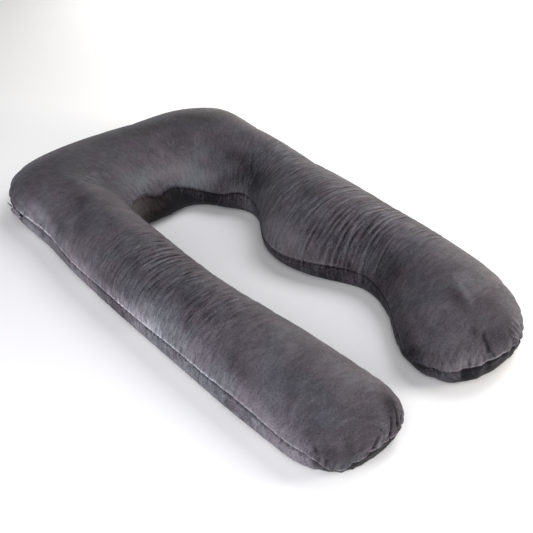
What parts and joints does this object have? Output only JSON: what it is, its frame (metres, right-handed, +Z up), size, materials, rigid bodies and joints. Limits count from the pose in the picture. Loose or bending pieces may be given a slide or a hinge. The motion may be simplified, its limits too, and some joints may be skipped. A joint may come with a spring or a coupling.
{
  "type": "body pillow",
  "caption": "U-shaped filled velvet body pillow: a deep head section, a straight arm and a contoured arm with a belly, a neck and a round foot.",
  "frame": {"origin": "middle of the bounding box, on the surface that the pillow lies on", "axes": "+Z up; +Y towards the head section; the two arms run towards -Y, the straight one at -X and the contoured one at +X"},
  "size_m": [0.7852, 1.426, 0.1758],
  "materials": {
    "velvet": "plush polyester velvet",
    "facing": "plush polyester velvet, folded",
    "tape": "woven polyester tape"
  },
  "bodies": {
    "root": {"pillow": "velvet", "zip_facing": "facing", "zip_tape_tip": "tape"}
  },
  "joints": []
}
